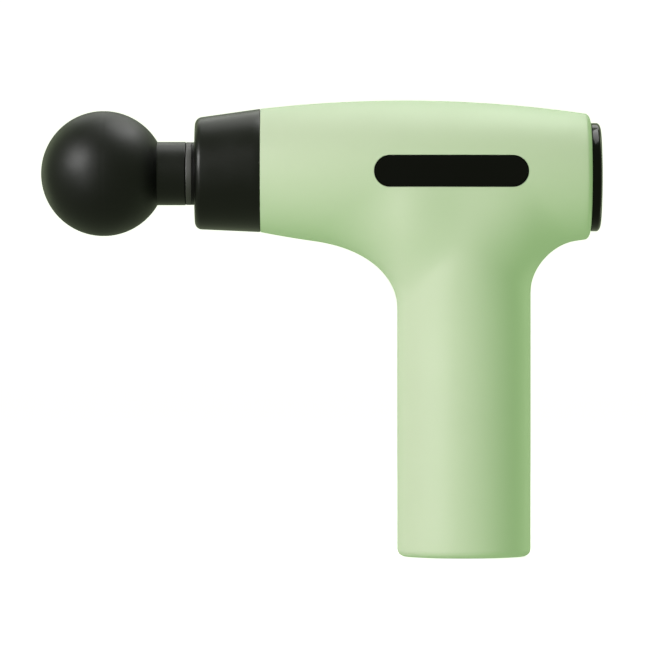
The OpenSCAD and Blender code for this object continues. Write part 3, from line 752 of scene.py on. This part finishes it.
def ball():
    """The ball, open where the neck enters, with a fine mould line round its middle."""
    start = math.degrees(math.asin((NECK_R + 0.05) / BALL_R))
    profile = []
    for a in np.linspace(start, 180, 97):
        off = math.radians(a - 90) * BALL_R
        r = BALL_R - MOULD_LINE_D * math.exp(-((off / MOULD_LINE_W) ** 2))
        profile += round_ball(r, [a])
    profile[-1][1] = 0
    inner = [[BALL_X - KNOB_R, 0], *round_ball(KNOB_R, range(165, 50, -15))]
    inner += [[NECK_X - 2, STEM_R + 0.05], [NECK_X - 2, NECK_R + 0.05]]
    piece = lathe("ball_skin", profile + inner, on_axis, 192)
    finish_piece(piece, "head", "ball", BALL_BLACK, 40)


def head_stem():
    """Knob in the ball, smooth neck, and the hollow stem with its grooves."""
    groove_r, half_w, tip = STEM_R - 0.8, 0.6, HEAD_X + 13.5
    profile = round_ball(KNOB_R - 0.1, range(150, 55, -12))
    profile += [[NECK_X - 2, STEM_R - 0.05], [NECK_X - 2, NECK_R - 0.1], [NECK_X - 1.8, NECK_R]]
    profile += [[x, NECK_R] for x in np.linspace(NECK_X, HEAD_X - 0.7, 6)]
    profile += arc(HEAD_X - 0.5, NECK_R - 0.5, 0.5, 0.5, 90, 0, 6)
    profile += [[HEAD_X, STEM_R]]
    for x in (HEAD_X + 3, HEAD_X + 6.5, HEAD_X + 10):
        profile += [[x - half_w, STEM_R], [x - half_w, groove_r]]
        profile += [[x + half_w, groove_r], [x + half_w, STEM_R]]
    profile += [[tip - 0.8, STEM_R], [tip, groove_r], [tip, STEM_BORE + 0.3]]
    profile += [[tip - 0.3, STEM_BORE], [BALL_X, STEM_BORE], [BALL_X - 9, STEM_BORE]]
    piece = lathe("head_stem_skin", profile, on_axis, 160)
    finish_piece(piece, "head", "head_stem", NECK_BLACK)


def socket_ring():
    """The dark steel ring on the front end of the sleeve."""
    front, rear, lip = SLEEVE_FRONT - 2.2, SLEEVE_FRONT, SLEEVE_FRONT - 1.4
    profile = rounded(
        [[front, SOCKET_R], [front, SLEEVE_R], [rear, SLEEVE_R], [rear, SLEEVE_R - 0.9],
         [lip, SLEEVE_R - 0.9], [lip, SOCKET_R]], 0.3, 5,
    )
    piece = lathe("socket_ring_skin", profile, on_axis, 160)
    finish_piece(piece, "piston", "socket_ring", RING_STEEL)


# ---------- studio ----------

# Camera: the point it looks at, the width it takes in there and its distance
VIEW_X, VIEW_Z, VIEW_SPAN = -50.0, 83.2, 234.0
VIEW_AWAY = 2050.0
SENSOR = 36.0

# Point that every soft box faces
LIT = Vector((-40, 0, 110)) * MM

# Backdrop: the floor's radius, the radius of the bend above it, and the wall's height
FLAT_R, BEND_R, WALL_H = 3400, 1200, 5000


def camera():
    """A long lens level with the middle of the gun, square to its side."""
    data = bpy.data.cameras.new("camera")
    data.sensor_width = SENSOR
    data.lens = SENSOR * VIEW_AWAY / VIEW_SPAN
    data.clip_end = 20
    obj = bpy.data.objects.new("camera", data)
    obj.location = Vector((VIEW_X, -VIEW_AWAY, VIEW_Z)) * MM
    obj.rotation_euler = (math.pi / 2, 0, 0)
    bpy.context.scene.collection.objects.link(obj)
    bpy.context.scene.camera = obj


def softbox(name, toward, distance, size, power, color=(1, 1, 1), matt=True, shine=True):
    """An area light, in metres, seen from the gun in the direction toward, aimed back at it.

    matt is whether it lights surfaces evenly, and shine whether it is mirrored in them."""
    data = bpy.data.lights.new(name, "AREA")
    data.shape = "RECTANGLE"
    data.size, data.size_y = size
    data.energy = power
    data.color = color
    obj = bpy.data.objects.new(name, data)
    aim = Vector(toward).normalized()
    obj.location = LIT + aim * distance
    obj.rotation_euler = aim.to_track_quat("Z", "Y").to_euler()
    obj.visible_diffuse = matt
    obj.visible_glossy = shine
    bpy.context.scene.collection.objects.link(obj)


def backdrop():
    """A pale round floor that curves up into a wall all round. It casts nothing on the gun."""
    bend = [
        (FLAT_R + BEND_R * math.sin(a), BEND_R - BEND_R * math.cos(a))
        for a in np.linspace(0.05, math.pi / 2, 24)
    ]
    profile = [(300, 0), (FLAT_R, 0), *bend, (FLAT_R + BEND_R, WALL_H)]
    turns = 96
    circle = [(math.cos(a), math.sin(a)) for a in np.linspace(0, 2 * math.pi, turns, endpoint=False)]
    verts = [[0, 0, -FLOOR_GAP]]
    verts += [[r * c, r * s, z - FLOOR_GAP] for r, z in profile for c, s in circle]
    faces = [[0, 1 + i, 1 + (i + 1) % turns] for i in range(turns)]
    for k in range(len(profile) - 1):
        low, high = 1 + k * turns, 1 + (k + 1) * turns
        faces += [
            [low + i, high + i, high + (i + 1) % turns, low + (i + 1) % turns]
            for i in range(turns)
        ]
    sweep = raw_object("backdrop", verts, faces)
    shade(sweep, 60)
    mat = moulded("backdrop_paint", (0.88, 0.88, 0.88), 0.8, tint=0.004, grain=3, bump=0.01)
    shader = mat.node_tree.nodes["Principled BSDF"]
    shader.inputs["Emission Color"].default_value = (1, 1, 1, 1)
    shader.inputs["Emission Strength"].default_value = 0.7
    sweep.data.materials.append(mat)
    sweep.visible_diffuse = False
    sweep.visible_glossy = False
    sweep.visible_shadow = False


def lights():
    """Soft boxes round the gun, and an even glow from everywhere."""
    key_way = (-0.733, -0.552, 0.395)
    side_way = (-0.64, -0.76, 0.09)
    rose = (0.97, 0.6, 0.96)
    leaf = (0.85, 1.0, 0.65)
    softbox("key", key_way, 1.3, (0.85, 0.85), 9.2, rose, shine=False)
    softbox("key_shine", key_way, 1.1, (0.5, 0.5), 11.5, matt=False)
    softbox("side_strip", side_way, 1.3, (0.3, 1.2), 4.2, rose, shine=False)
    softbox("side_shine", side_way, 1.15, (0.26, 1.0), 3.0, matt=False)
    softbox("low_left", (-0.49, -0.59, -0.64), 1.4, (0.9, 0.9), 2.2, leaf, shine=False)
    softbox("fill", (0.64, -0.75, 0), 1.4, (0.8, 0.8), 0.8, leaf, shine=False)
    softbox("overhead", (0, 0.29, 0.96), 1.2, (1.2, 0.35), 1.2, rose, shine=False)
    softbox("overhead_shine", (0.1, 0.2, 0.98), 1.0, (1.0, 0.5), 2.4, matt=False)
    softbox("cap_shine", (0.25, 0.12, 0.96), 0.4, (0.26, 0.26), 1.2, matt=False)
    softbox("back", (0, 0.7, 0.7), 1.2, (1.2, 0.35), 3.0)
    softbox("back_left", (-0.63, 0.75, 0.17), 1.3, (0.3, 1.2), 1.2, leaf)
    softbox("rim", (0.763, 0.64, 0.087), 1.3, (0.25, 1.2), 2.4, leaf)
    world = bpy.data.worlds.new("world")
    world.use_nodes = True
    surround = world.node_tree.nodes["Background"]
    surround.inputs["Color"].default_value = (0.838, 1.0, 0.648, 1)
    surround.inputs["Strength"].default_value = 0.504
    bpy.context.scene.world = world
    bpy.context.scene.view_settings.view_transform = "Standard"


def carried_nodes():
    """Materials for the CAD nodes that are shown as they are."""
    for name, material in CARRIED.items():
        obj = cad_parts[name]
        for slot in obj.material_slots:
            slot.material = material
        if not obj.material_slots:
            obj.data.materials.append(material)


# ---------- the whole gun ----------

camera()
backdrop()
lights()
carried_nodes()
half_shells()
inlay("left_inlay_skin", -1)
inlay("right_inlay_skin", 1)
nose()
rear_cap()
display_lens()
power_button()
ball()
head_stem()
socket_ring()
